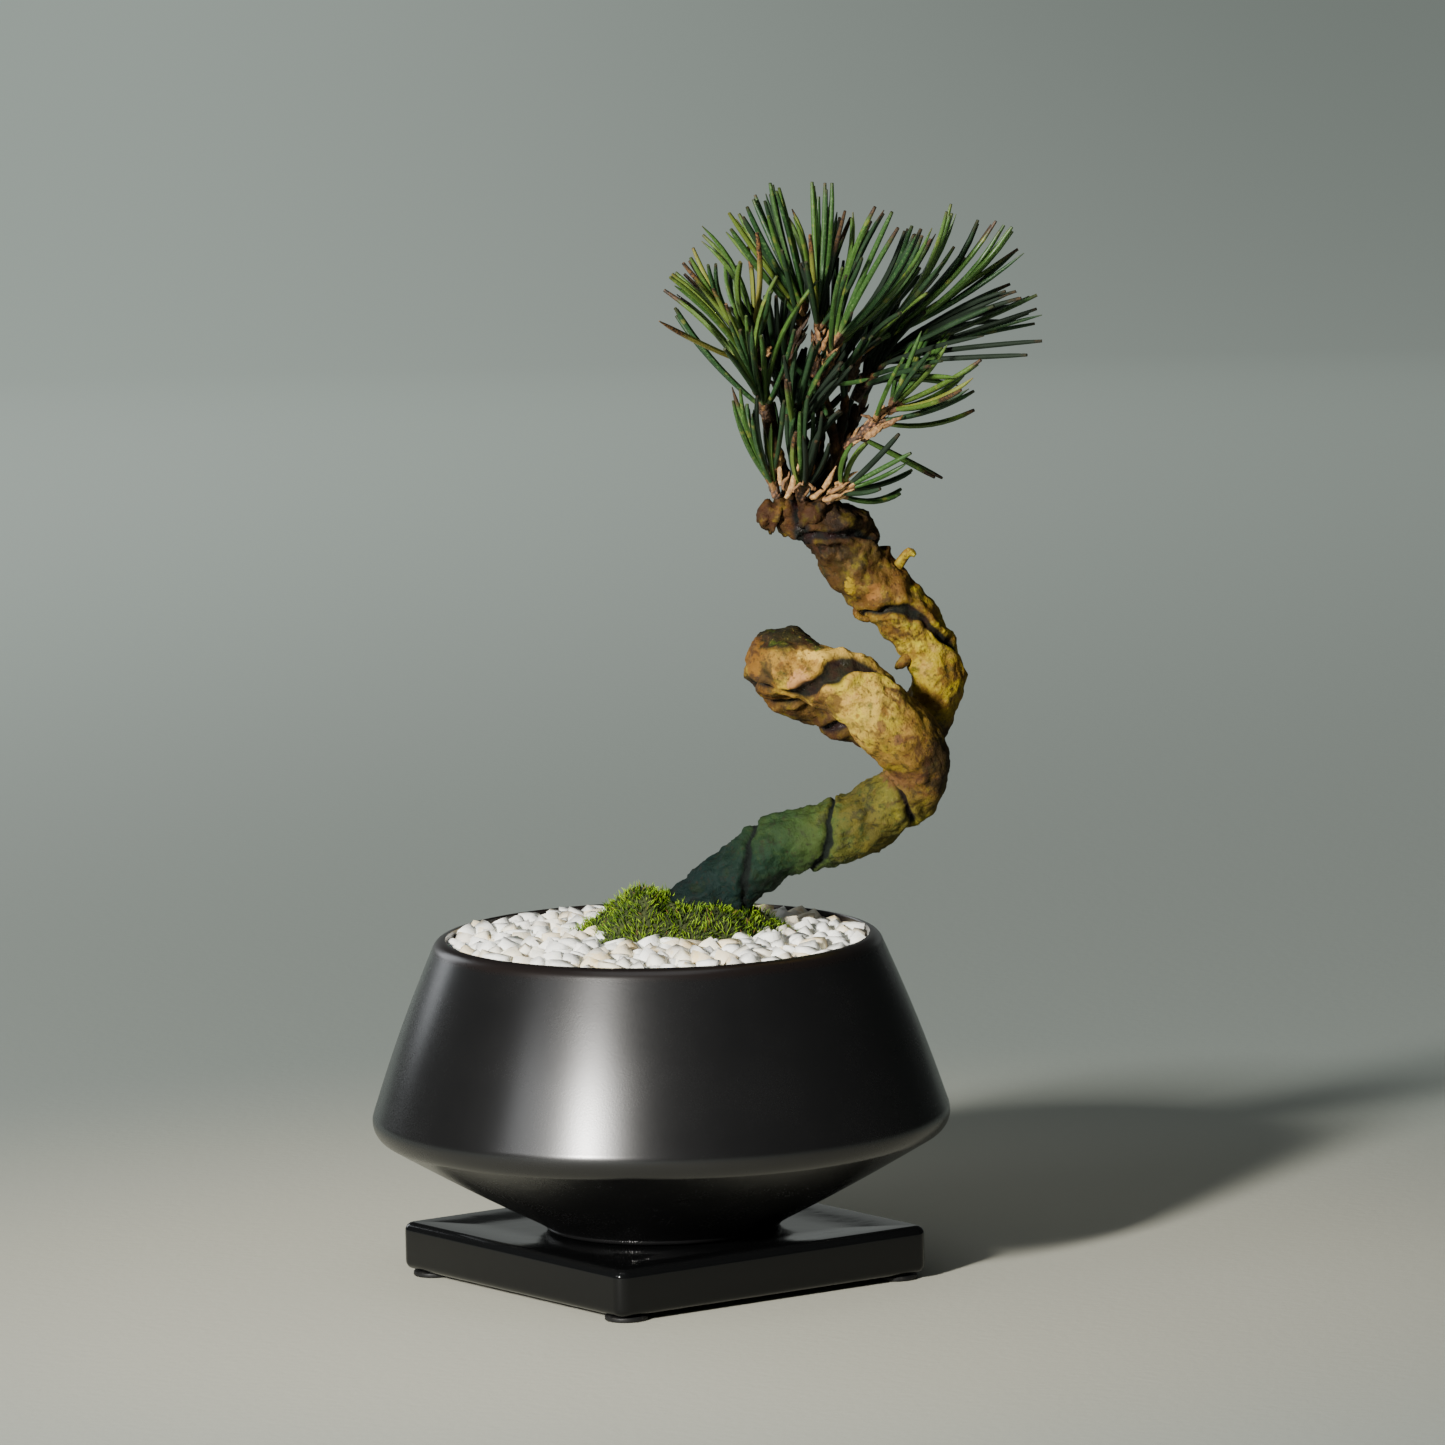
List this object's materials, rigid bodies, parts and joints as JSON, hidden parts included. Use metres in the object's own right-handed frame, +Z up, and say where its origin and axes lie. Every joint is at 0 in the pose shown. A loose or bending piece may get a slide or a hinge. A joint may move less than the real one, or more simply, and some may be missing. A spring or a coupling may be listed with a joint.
{
  "type": "japanese black pine bonsai in a pot",
  "caption": "Small Japanese black pine bonsai with a twisted, wire-scarred trunk, white gravel and moss, in a black bellied pot on a square saucer.",
  "frame": {"origin": "on the surface that the pads stand on, under the middle of the whole object", "axes": "+Z up, -Y towards the camera's side, +X to the right, where the tree leans"},
  "size_m": [0.1359, 0.1156, 0.2197],
  "materials": {
    "saucer": "gloss black glaze",
    "pad": "soft dark pad",
    "pot": "satin black glaze",
    "screen": "black mesh",
    "soil": "dark gritty potting mix",
    "gravel": "white gravel grains",
    "moss": "soft yellow-green moss",
    "wood": "rough ochre bark with green algae",
    "needle": "waxy green needles"
  },
  "bodies": {
    "root": {"saucer": "saucer", "saucer_pad_1": "pad", "saucer_pad_2": "pad", "saucer_pad_3": "pad", "saucer_pad_4": "pad", "pot": "pot", "drain_screen": "screen", "soil": "soil", "gravel": "gravel", "moss": "moss", "pine_wood": "wood", "spray_low_left": "needle", "spray_low_middle": "needle", "spray_left": "needle", "spray_upper_left": "needle", "spray_top_left": "needle", "spray_top": "needle", "spray_top_front": "needle", "spray_top_right": "needle", "spray_far_right": "needle", "spray_pink": "needle", "spray_low_right": "needle", "spray_front": "needle", "spray_back_left": "needle", "spray_back": "needle", "spray_back_right": "needle"}
  },
  "joints": []
}
